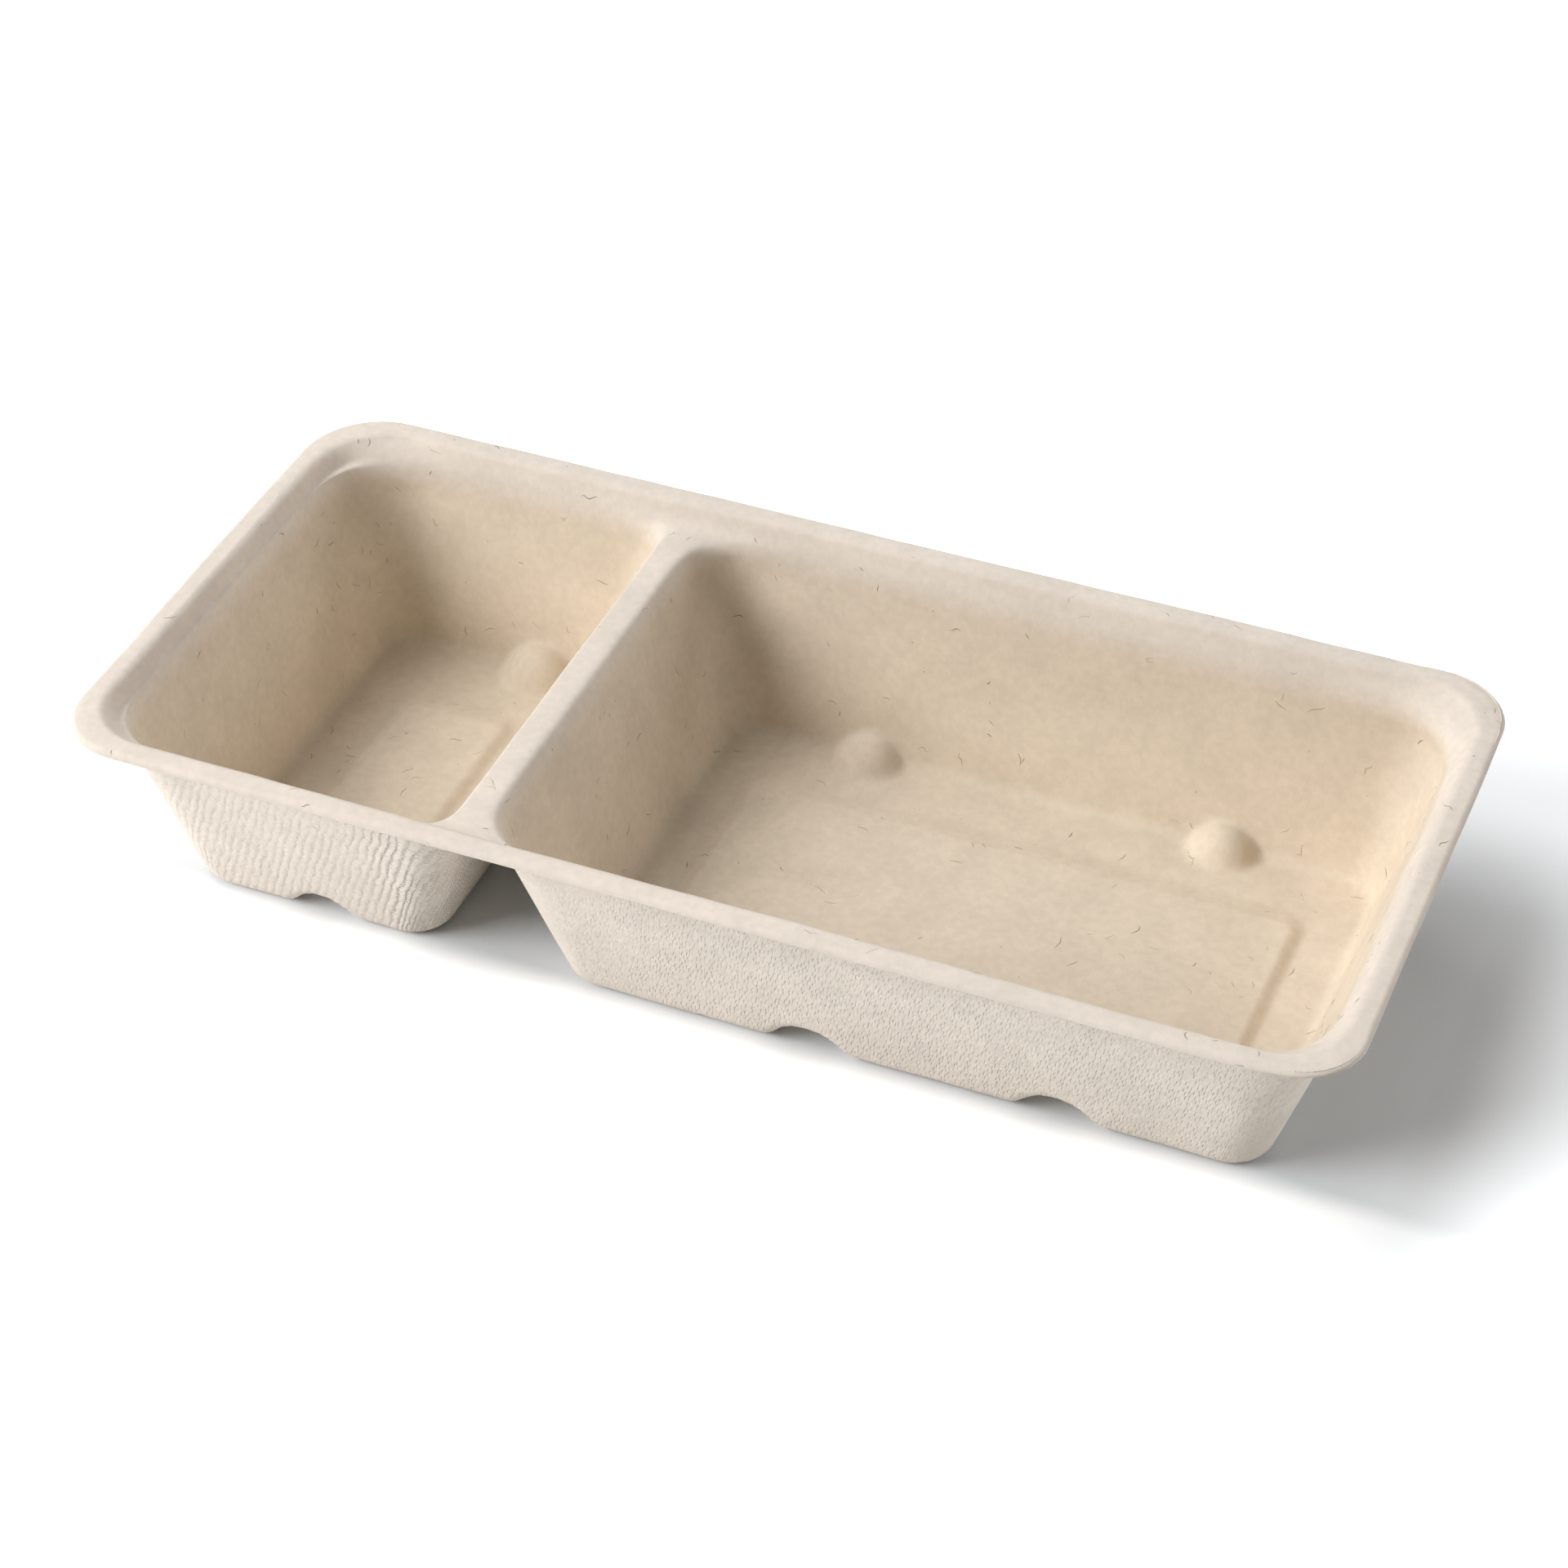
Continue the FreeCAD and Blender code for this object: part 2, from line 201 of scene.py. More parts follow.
class Well:
    """One of the two wells: its outlines from the mouth down to the raised panel, and its lugs."""

    def __init__(self, mouth, floor, corners, end_margin, side_margin, front_lugs, back_lugs, columns):
        """front_lugs and back_lugs hold each lug's place along the wall and its size."""
        self.mouth_box = mouth
        self.floor_box = floor
        self.corners = corners
        self.columns = columns
        foot = grown(floor, -end_margin, -side_margin)
        self.front_places = places_round_lugs(floor, front_lugs, columns)
        self.back_places = places_round_lugs(floor, back_lugs, columns)
        self.lugs = [(place, floor[2], *lug_size) for place, lug_size in front_lugs]
        self.lugs += [(place, floor[3], *lug_size) for place, lug_size in back_lugs]
        self.mouth, self.facing = self.ring(mouth, corners)
        self.floor, _ = self.ring(floor, (FLOOR_CORNER,) * 4)
        self.foot, _ = self.ring(foot, (PANEL_CORNER,) * 4)
        top = grown(foot, -PANEL_SLOPE, -PANEL_SIDE_SLOPE)
        self.panel, _ = self.ring(top, (PANEL_CORNER - PANEL_SLOPE,) * 4)

    def ring(self, box, corners):
        """An outline whose points stand where this well's lugs need them."""
        return outline(box, corners, self.front_places, self.back_places)


def well_boxes():
    """Mouth and floor boxes of the dip well and the chip well."""
    end = HALF_LENGTH - RIM_TO_MOUTH
    side = HALF_WIDTH - RIM_TO_MOUTH
    dip_mouth = (-end, DIVIDER_DIP_EDGE, -side, side)
    chip_mouth = (DIVIDER_CHIP_EDGE, end, -side, side)
    low = side - LONG_WALL_RUN
    dip_floor = (-end + WALL_RUN, DIVIDER_DIP_EDGE - DIVIDER_RUN, -low, low)
    chip_floor = (DIVIDER_CHIP_EDGE + WALL_RUN, end - WALL_RUN, -low, low)
    return dip_mouth, dip_floor, chip_mouth, chip_floor


DIP_MOUTH, DIP_FLOOR, CHIP_MOUTH, CHIP_FLOOR = well_boxes()
DIP_MIDDLE = (DIP_FLOOR[0] + DIP_FLOOR[1]) / 2
CHIP_MIDDLE = (CHIP_FLOOR[0] + CHIP_FLOOR[1]) / 2

DIP = Well(
    DIP_MOUTH,
    DIP_FLOOR,
    (RIM_CORNERS[0], DIP_DIVIDER_CORNER, DIP_DIVIDER_CORNER, RIM_CORNERS[3]),
    end_margin=11.0,
    side_margin=13.8,
    front_lugs=[(DIP_MIDDLE + 2.0, SMALL_LUG)],
    back_lugs=[(DIP_MIDDLE + 8.2, LARGE_LUG)],
    columns=34,
)
CHIP = Well(
    CHIP_MOUTH,
    CHIP_FLOOR,
    (CHIP_DIVIDER_CORNER, RIM_CORNERS[1], RIM_CORNERS[2], CHIP_DIVIDER_CORNER),
    end_margin=8.5,
    side_margin=11.8,
    front_lugs=[(CHIP_MIDDLE - 16.3, LARGE_LUG), (CHIP_MIDDLE + 27.3, LARGE_LUG)],
    back_lugs=[(CHIP_MIDDLE - 34.4, SMALL_LUG), (CHIP_MIDDLE + 32.6, SMALL_LUG)],
    columns=80,
)


# ---- the sheet's sections

def melt(one, other, width):
    """The higher of two heights, with the crease between them filled over a width."""
    mix = np.clip(0.5 + 0.5 * (one - other) / width, 0, 1)
    return other + (one - other) * mix + width * mix * (1 - mix)


def lug_height(points, lugs):
    """Height of the rounded stacking lugs above the floor plane, at points seen from above."""
    height = np.full(points.shape[:-1], -TRAY_TOP)
    for x, y, radius, rise in lugs:
        reach = np.hypot(points[..., 0] - x, points[..., 1] - y)
        dome = rise * (1 - (reach / radius) ** LUG_FULLNESS)
        height = np.maximum(height, FLOOR + dome)
    return height


def edge_reach(well):
    """How far the rounding of the mouth's edge reaches back over the ledge, point by point."""
    reach = np.full(len(well.mouth), MOUTH_EDGE_REACH)
    if well is CHIP:
        toward_divider = np.clip(-well.facing[:, 0], 0, 1)
        reach += (CHIP_DIVIDER_EDGE_REACH - MOUTH_EDGE_REACH) * toward_divider
    return reach


def well_rings(well):
    """The rings of a well, from the ledge down to the panel's edge, as rings x points x 3."""
    wall = well.floor - well.mouth
    wall_run = np.linalg.norm(wall, axis=1)
    channel = well.foot - well.floor
    channel_run = np.linalg.norm(channel, axis=1)
    depth = LEDGE - FLOOR
    lean = np.arctan2(depth, wall_run)
    reach = edge_reach(well)

    def placed(along, height):
        """Points at distances in from the mouth's edge, at their heights."""
        on_wall = np.clip(along / wall_run, None, 1)[..., None] * wall
        on_floor = np.clip((along - wall_run) / channel_run, 0, None)[..., None] * channel
        outward = np.clip(-along, 0, None)[..., None] * well.facing
        seen = np.where(along[..., None] < 0, well.mouth + outward, well.mouth + on_wall + on_floor)
        return np.concatenate([seen, height[..., None]], axis=-1)

    rings = []
    edge_radius = reach / np.tan(lean / 2)
    for share in np.linspace(0, 1, EDGE_RINGS + 1):
        turn = lean * share
        along = -reach + edge_radius * np.sin(turn)
        rings.append(placed(along, LEDGE - edge_radius * (1 - np.cos(turn))))

    wall_top = LEDGE - reach * np.sin(lean)
    for share in np.linspace(0, 1, WALL_RINGS + 1)[1:]:
        height = wall_top + (FOOT_TOP - wall_top) * share
        rings.append(placed((LEDGE - height) / np.tan(lean), height))

    rings.extend(foot_rings(well, placed, wall_run, channel_run, lean))

    for share in np.linspace(0, 1, SLOPE_RINGS + 1)[1:]:
        seen = well.foot + (well.panel - well.foot) * share
        # Soft at the panel's ends, and a plain slope along its sides.
        eased = share + (share * share * (3 - 2 * share) - share) * np.abs(well.facing[:, :1])
        rings.append(np.concatenate([seen, FLOOR + PANEL_RISE * eased], axis=1))
    return np.array(rings)


def foot_rings(well, placed, wall_run, channel_run, lean):
    """The rings over the wall's foot, its rounding, the lugs and the floor channel."""
    tangent = FLOOR_ROUND * np.tan(lean / 2)
    round_top = FLOOR + tangent * np.sin(lean)
    samples = []
    for share in np.linspace(0, 1, FOOT_SAMPLES + 1)[1:]:
        height = FOOT_TOP + (round_top - FOOT_TOP) * share
        samples.append(placed((LEDGE - height) / np.tan(lean), height))
    for share in np.linspace(0, 1, FOOT_SAMPLES + 1)[1:]:
        turn = lean * (1 - share)
        along = wall_run + tangent - FLOOR_ROUND * np.sin(turn)
        samples.append(placed(along, FLOOR + FLOOR_ROUND * (1 - np.cos(turn))))
    for share in np.linspace(0, 1, CHANNEL_SAMPLES + 1)[1:]:
        along = wall_run + tangent + (channel_run - tangent) * share
        samples.append(placed(along, np.full(along.shape, FLOOR)))
    first = placed((LEDGE - FOOT_TOP) / np.tan(lean), np.full(lean.shape, FOOT_TOP))
    path = np.array([first] + samples)
    path[..., 2] = melt(path[..., 2], lug_height(path[..., :2], well.lugs), LUG_MELT)
    gaps = np.linalg.norm(np.diff(path, axis=0), axis=2)
    run = np.concatenate([np.zeros((1, path.shape[1])), np.cumsum(gaps, axis=0)])
    rings = np.empty((FOOT_RINGS, path.shape[1], 3))
    for column in range(path.shape[1]):
        stops = np.linspace(0, run[-1, column], FOOT_RINGS + 1)[1:]
        for axis in range(3):
            rings[:, column, axis] = np.interp(stops, run[:, column], path[:, column, axis])
    return list(rings)


def bend(corner, before, after, reach, steps):
    """Points of a rounded bend in a section: corner, the two directions, and where it starts."""
    before = np.array(before, float) / np.hypot(*before)
    after = np.array(after, float) / np.hypot(*after)
    start = np.array(corner) - before * reach
    share = np.linspace(0, 1, steps + 1)[:, None]
    turn = math.acos(float(np.clip(before @ after, -1, 1)))
    radius = reach / math.tan(turn / 2)
    side = np.array([-before[1], before[0]])
    if side @ after < 0:
        side = -side
    middle = start + side * radius
    return middle + (start - middle) * np.cos(turn * share) + before * radius * np.sin(turn * share)


def rim_section():
    """The rim's section from the cut edge of the lip to the ledge: distance in, and height."""
    lip_bottom = TRAY_TOP - LIP_DROP
    step_foot = STEP_INSET + STEP_RUN
    down = (STEP_RUN, -STEP_DROP)
    return np.concatenate([
        [(0, lip_bottom)],
        bend((0, TRAY_TOP), (0, 1), (1, 0), LIP_ROUND, LIP_STEPS),
        [(STEP_INSET - CREST_REACH - FLAT_BEFORE_CREST, TRAY_TOP)],
        bend((STEP_INSET, TRAY_TOP), (1, 0), down, CREST_REACH, CREST_STEPS),
        bend((step_foot, LEDGE), down, (1, 0), STEP_FOOT_REACH, STEP_FOOT_STEPS),
    ])


def rim_rings():
    """The rings of the rim, with the same points along their sides as the wells' mouths."""
    dip_end = DIP.mouth_box[1] - DIP.corners[1]
    chip_start = CHIP.mouth_box[0] + CHIP.corners[0]
    strips = np.linspace(dip_end, chip_start, DIVIDER_STRIPS + 1)[1:-1]

    def front(low, high):
        return np.concatenate([DIP.front_places(low, dip_end), strips, CHIP.front_places(chip_start, high)])

    def back(low, high):
        return np.concatenate([DIP.back_places(low, dip_end), strips, CHIP.back_places(chip_start, high)])

    rings = []
    full = (-HALF_LENGTH, HALF_LENGTH, -HALF_WIDTH, HALF_WIDTH)
    for inset, height in rim_section():
        ease = 0 if inset <= LIP_ROUND else STEP_CORNER_EASE
        corners = tuple(corner - inset + ease for corner in RIM_CORNERS)
        seen, _ = outline(grown(full, -inset, -inset), corners, front, back)
        rings.append(np.concatenate([seen, np.full((len(seen), 1), height)], axis=1))
    return np.array(rings)


# ---- joining the sheet up

class Sheet:
    """The food side of the tray while it is put together: points and four-sided faces."""

    def __init__(self):
        self.points = []
        self.faces = []
        self.kinds = []
        self.runs = []
        self.count = 0

    def add(self, points, run=0.0):
        """Adds points and where each lies on the wall pattern; gives their numbers."""
        points = np.asarray(points, float)
        numbers = self.count + np.arange(points.size // 3).reshape(points.shape[:-1])
        self.points.append(points.reshape(-1, 3))
        self.runs.append(np.broadcast_to(run, points.shape[:-1] + (3,)).reshape(-1, 3))
        self.count += points.size // 3
        return numbers

    def cover(self, grid, kind, closed=False):
        """Faces over a grid of point numbers, whose rows run left to right and columns inwards."""
        if closed:
            grid = np.concatenate([grid, grid[:, :1]], axis=1)
        faces = np.stack([grid[:-1, :-1], grid[:-1, 1:], grid[1:, 1:], grid[1:, :-1]], axis=-1)
        faces = faces.reshape(-1, 4)
        self.faces.append(faces)
        self.kinds.append(np.full(len(faces), kind))


def ring_parts(well):
    """Where the right, back and left sides of a well's outline start in its ring; the front starts it."""
    columns = well.columns + 1
    rows = SIDE_ROWS + 1
    bend_points = ARC_STEPS - 1
    right = columns + bend_points
    back = right + rows + bend_points
    left = back + columns + bend_points
    return right, back, left


def fill_panel(sheet, well, ring):
    """Covers a raised panel with rows from front to back between its edges."""
    ring = np.roll(ring, ARC_STEPS // 2)
    wide = well.columns + ARC_STEPS
    tall = SIDE_ROWS + ARC_STEPS
    front_edge = ring[: wide + 1]
    right_edge = ring[wide: wide + tall + 1]
    back_edge = ring[wide + tall: 2 * wide + tall + 1][::-1]
    left_edge = np.append(ring[2 * wide + tall:], ring[0])[::-1]
    known = np.concatenate(sheet.points)
    across = np.linspace(0, 1, wide + 1)[None, :, None]
    up = np.linspace(0, 1, tall + 1)[:, None, None]
    front, back_points = known[front_edge][None], known[back_edge][None]
    left_points, right_points = known[left_edge][:, None], known[right_edge][:, None]
    points = (1 - up) * front + up * back_points + (1 - across) * left_points + across * right_points
    points = points - (
        (1 - across) * (1 - up) * front[:, :1]
        + across * (1 - up) * front[:, -1:]
        + (1 - across) * up * back_points[:, :1]
        + across * up * back_points[:, -1:]
    )
    grid = np.empty((tall + 1, wide + 1), int)
    grid[0], grid[-1] = front_edge, back_edge
    grid[:, 0], grid[:, -1] = left_edge, right_edge
    grid[1:-1, 1:-1] = sheet.add(points[1:-1, 1:-1])
    sheet.cover(grid, "flat")


def join_sheet():
    """Puts the wells, the divider's top, the ledge and the rim together as one sheet."""
    sheet = Sheet()
    loops = {}
    for well in (DIP, CHIP):
        rings = well_rings(well)
        numbers = sheet.add(rings, wall_runs(well, rings))
        wall_end = EDGE_RINGS + WALL_RINGS + int(FOOT_RINGS * PATTERN_SHARE)
        sheet.cover(numbers[: wall_end + 1], "wall", closed=True)
        sheet.cover(numbers[wall_end:], "flat", closed=True)
        fill_panel(sheet, well, numbers[-1])
        loops[well] = numbers[0]
    known = np.concatenate(sheet.points)

    dip, chip = loops[DIP], loops[CHIP]
    _, dip_back, _ = ring_parts(DIP)
    _, chip_back, _ = ring_parts(CHIP)
    dip_side = dip[DIP.columns: dip_back + 1]
    chip_side = np.append(chip[chip_back + CHIP.columns:], chip[0])[::-1]
    shares = np.linspace(0, 1, DIVIDER_STRIPS + 1)[1:-1][None, :, None]
    between = known[dip_side][:, None] * (1 - shares) + known[chip_side][:, None] * shares
    strips = sheet.add(between)
    divider = np.concatenate([dip_side[:, None], strips, chip_side[:, None]], axis=1)
    sheet.cover(divider, "flat")

    ledge = np.concatenate([
        dip[: DIP.columns + 1],
        strips[0],
        chip[: chip_back + CHIP.columns + 1],
        strips[-1][::-1],
        dip[dip_back:],
    ])
    rim = rim_rings()
    rim_numbers = sheet.add(rim)
    sheet.cover(np.concatenate([rim_numbers, ledge[None]]), "flat", closed=True)
    return sheet, rim_numbers


def wall_runs(well, rings):
    """Where each of a well's points lies on the wall pattern: round, down, and the whole way round.

    On a side, the distance round is level along it, so that the pattern stands as it does on a
    flat wall; in a corner it runs evenly from one side to the next.
    """
    middle = rings[EDGE_RINGS + WALL_RINGS // 2]
    steps = np.linalg.norm(np.roll(middle, -1, axis=0) - middle, axis=1)
    so_far = np.concatenate([[0], np.cumsum(steps)])
    right, back, left = ring_parts(well)
    columns, rows = well.columns + 1, SIDE_ROWS + 1
    round_well = np.empty((len(rings), rings.shape[1] + 1))
    sides = ((0, columns, 0, 1), (right, rows, 1, 1), (back, columns, 0, -1), (left, rows, 1, -1))
    for start, count, axis, sign in sides:
        part = slice(start, start + count)
        round_well[:, part] = so_far[start] + sign * (rings[:, part, axis] - middle[start, axis])
    round_well[:, -1] = round_well[:, 0] + so_far[-1]
    for corner, (start, count, _, _) in enumerate(sides):
        last = start + count - 1
        following = sides[corner + 1][0] if corner < 3 else rings.shape[1]
        shares = np.linspace(0, 1, following - last + 1)[None, :]
        ends = round_well[:, last: last + 1], round_well[:, following: following + 1]
        round_well[:, last: following + 1] = ends[0] * (1 - shares) + ends[1] * shares
    fall = np.diff(rings, axis=0)
    inward = (fall[..., :2] * well.facing).sum(axis=-1)
    steps_down = np.hypot(inward, fall[..., 2])
    down = np.concatenate([np.zeros((1, rings.shape[1])), np.cumsum(steps_down, axis=0)])
    whole = np.full(down.shape, so_far[-1])
    return np.stack([round_well[:, :-1], down, whole], axis=-1)


def corner_normals(points, faces):
    """The way each point faces, as the mean of the faces round it."""
    a, b, c, d = (points[faces[:, k]] for k in range(4))
    across = np.cross(c - a, d - b)
    normals = np.zeros_like(points)
    for k in range(4):
        np.add.at(normals, faces[:, k], across)
    return normals / np.linalg.norm(normals, axis=1, keepdims=True)


def slow_waves(points, length, seed):
    """A smooth wander between -1 and 1 over the tray, with waves of about one length."""
    luck = np.random.default_rng(seed)
    total = np.zeros(len(points))
    for _ in range(WAVES):
        heading = luck.normal(size=3)
        heading /= np.linalg.norm(heading)
        pace = 2 * math.pi / (length * luck.uniform(*WAVE_LENGTHS))
        total += np.sin(points @ heading * pace + luck.uniform(0, 2 * math.pi))
    return total / (WAVES / 2)


def press(points, faces):
    """Lets the formed sheet wander a little, as pulp does when it dries."""
    normals = corner_normals(points, faces)
    drift = sum(reach * slow_waves(points, length, seed) for reach, length, seed in DRIFTS)
    return points + normals * drift[:, None]


def soften(points, faces):
    """Lets the lid step run softly into the wells, most of all along the back and the chip end."""
    past_side = np.maximum((points[:, 0] - SOFT_END) / SOFT_FADE, (points[:, 1] - SOFT_SIDE) / SOFT_FADE)
    above = (points[:, 2] - (LEDGE - SOFT_BELOW_LEDGE)) / SOFT_BOTTOM_FADE
    below = (LEDGE + SOFT_ABOVE_LEDGE - points[:, 2]) / SOFT_TOP_FADE
    share = SOFT_SHARE * np.clip(past_side, SOFT_LEAST, 1) * np.clip(above, 0, 1) * np.clip(below, 0, 1)
    pairs = np.concatenate([faces[:, [k, (k + 1) % 4]] for k in range(4)])
    pairs = pairs[(share[pairs] > 0).any(axis=1)]
    ends = np.concatenate([pairs, pairs[:, ::-1]])
    count = np.maximum(np.bincount(ends[:, 0], minlength=len(points)), 1)
    for _ in range(SOFT_ROUNDS):
        beside = points[ends[:, 1]]
        total = [np.bincount(ends[:, 0], beside[:, axis], len(points)) for axis in range(3)]
        mean = np.stack(total, axis=1) / count[:, None]
        points = points + share[:, None] * (mean - points)
    return points


def keep_in_box(points):
    """Holds every point inside the tray's own box."""
    return np.clip(points, [-HALF_LENGTH, -HALF_WIDTH, 0.0], [HALF_LENGTH, HALF_WIDTH, TRAY_TOP])


def make_tray():
    """The whole tray as one closed mesh."""
    sheet, rim = join_sheet()
    faces = np.concatenate(sheet.faces)
    kinds = np.concatenate(sheet.kinds)
    food = press(soften(np.concatenate(sheet.points), faces), faces)
    runs = np.concatenate(sheet.runs)
    outside = food - corner_normals(food, faces) * PAPER
    count = len(food)
    lip_food = rim[0]
    middle = (food[lip_food] + outside[lip_food]) / 2 - np.array([0, 0, CUT_EDGE_SAG])
    points = keep_in_box(np.concatenate([food, outside, middle]))
    lip_middle = 2 * count + np.arange(len(lip_food))
    bands = ((lip_food, lip_middle), (lip_middle, lip_food + count))
    lip_faces = np.concatenate([
        np.stack([np.roll(upper, -1), upper, lower, np.roll(lower, -1)], axis=1) for upper, lower in bands
    ])
    all_faces = np.concatenate([faces, faces[:, ::-1] + count, lip_faces])
    outer = np.concatenate([np.zeros(count), np.ones(count), np.full(len(lip_food), 0.5)])
    return points, all_faces, outer, kinds, runs


def pattern_map(points, faces, kinds, runs):
    """Where each face corner lies on the wall pattern, in millimetres."""
    places = points[faces][:, :, :2].copy()
    walls = np.flatnonzero(kinds == "wall")
    around = runs[faces[walls]]
    whole = around[:, :, 2]
    late = around[:, :, 0].max(axis=1, keepdims=True) - around[:, :, 0] > whole / 2
    around[:, :, 0] += np.where(late, whole, 0.0)
    places[walls] = around[:, :, :2]
    places[walls + len(kinds)] = around[:, ::-1, :2]
    return places


def put_in_scene(name, data):
    """A new object in the scene, at the origin."""
    made = bpy.data.objects.new(name, data)
    bpy.context.scene.collection.objects.link(made)
    return made


def mesh_piece(name, points, faces):
    """A new piece from points in millimetres, smooth, at the origin."""
    mesh = bpy.data.meshes.new(name)
    mesh.from_pydata((points * MM).tolist(), [], faces.tolist())
    mesh.polygons.foreach_set("use_smooth", np.ones(len(mesh.polygons), bool))
    mesh.update()
    return put_in_scene(name, mesh)


def build_tray():
    """Makes the tray's piece with its outside share and its pattern map."""
    points, faces, outer, kinds, runs = make_tray()
    tray = mesh_piece("pressed_tray", points, faces)
    share = tray.data.attributes.new("outside", "FLOAT", "POINT")
    share.data.foreach_set("value", outer.astype(np.float32))
    places = points[faces][:, :, :2]
    on_sheet = 2 * len(kinds)
    places[:on_sheet] = pattern_map(points, faces[:on_sheet], kinds, runs)
    layer = tray.data.uv_layers.new(name="mould_wire")
    layer.data.foreach_set("uv", places.reshape(-1).astype(np.float32))
    return tray


# ---- finishes

PALE_PULP = (0.785, 0.703, 0.614)
# Painted light: the outside is paler, standing in for the light that falls on the outer walls.
LIT_OUTER_PULP = (0.860, 0.784, 0.695)
CUT_EDGE_PULP = (0.860, 0.800, 0.725)
# Painted shade: the darker, warmer pulp deep in the wells, where shade falls.
SHADED_WELL_PULP = (0.725, 0.625, 0.500)
STRAW_SPECK = (0.330, 0.225, 0.120)
DARK_FIBRE = (0.130, 0.085, 0.045)
STRAW_FIBRE = (0.500, 0.390, 0.250)
SHEEN = 0.2
PULP_ROUGHNESS = 0.92
FIBRE_ROUGHNESS = 0.8

# How the cut edge's colour fades into the two faces.
CUT_EDGE_FADE = (0.2, 1.0, 0.8, 0.0)

# In a well, the food side turns from pale to a darker, warmer painted shade between these heights, in metres,
# standing in for the shade that falls deep in the wells.
WELL_SHADE_TOP = 0.0352
WELL_SHADE_BOTTOM = 0.0300

# Each noise of the pulp: its scale, detail and roughness.
CLOUDS = (95.0, 4.0, 0.55)
FELT = (620.0, 4.0, 0.62)
COARSE_FELT = (260.0, 3.0, 0.5)
GRAIN = (1100.0, 2.0, 0.55)

# From a range of noise to how light the colour is.
CLOUD_LEVELS = (0.30, 0.70, 0.955, 1.03)
FELT_LEVELS = (0.28, 0.72, 0.955, 1.035)

# How deep the felt stands in relief, in millimetres, and how strongly.
COARSE_RELIEF = (0.10, 0.35)
FELT_RELIEF = (0.06, 0.45)

# Straw specks: how close, how many of the places have one, its soft rim, and its strength.
SPECK_SCALE = 230.0
SPECK_SHARE = 0.10
SPECK_RIM = (0.020, 0.045)
SPECK_LEVEL = 0.75

# Streaks along a fibre: the noise's scale, and from a range of noise to a change of shade.
STREAK_SCALE = 1500.0
STREAKS = (0.3, 0.7, -0.12, 0.12)

# The mould's wire mesh: slender pits under the chip well and grooves under the dip well.
WIRE_DEPTH = 0.24
GRAIN_DEPTH = 0.16
PIT_GAP = 0.92
PIT_ROW = 1.25
PIT_HALF_WIDTH = 0.17
PIT_HALF_LENGTH = 0.68
PIT_LEAN = 13.0
PIT_STAGGER = 0.5
PIT_STRAY = 0.62
PIT_RIM = (0.05, 1.5)
PIT_SHARE = 0.62
SHALLOWEST_PIT = 0.25
DEEPEST_PIT_LUCK = 0.9
GROOVE_PITCH = 1.50
GROOVE_LEAN = 21.0
GROOVE_STRAY = 1.8
GROOVE_STRAY_NOISE = (0.30, 2.0)
GROOVE_SHARPNESS = 1.6
JAG_PITCH = 0.80
JAG_REACH = 0.30

# Along the tray: where grooves give way to pits, and how each fades beside the divider, as two
# places in metres and the strength at both.
GROOVES_END = (-0.0400, -0.0385)
GROOVE_FADE = (-0.061, -0.051, 0.34, 1.25)
PIT_FADE = (-0.026, 0.002, 0.25, 1.0)
PATCH_NOISE = (0.09, 2.0)
PATCH_LEVELS = (0.34, 0.60, 0.55, 1.0)


class Nodes:
    """A node tree while its nodes are put in."""

    def __init__(self, tree):
        self.tree = tree
        self.nodes = tree.nodes

    def set(self, socket, value):
        """Gives a socket a number, a colour or another node's output."""
        if isinstance(value, bpy.types.NodeSocket):
            self.tree.links.new(value, socket)
        elif isinstance(value, tuple) and socket.type == "RGBA":
            socket.default_value = (*value, 1)
        else:
            socket.default_value = value

    def node(self, kind, settings=None, second=None, **values):
        """Adds a node. Values are given by socket name, with spaces as underlines, and second is the
        value of a second socket that has the first one's name."""
        made = self.nodes.new(kind)
        for key, value in (settings or {}).items():
            setattr(made, key, value)
        for label, value in values.items():
            wanted = label.replace("_", " ")
            self.set(next(s for s in made.inputs if s.name == wanted and s.enabled), value)
        if second is not None:
            self.set(made.inputs[1], second)
        return made


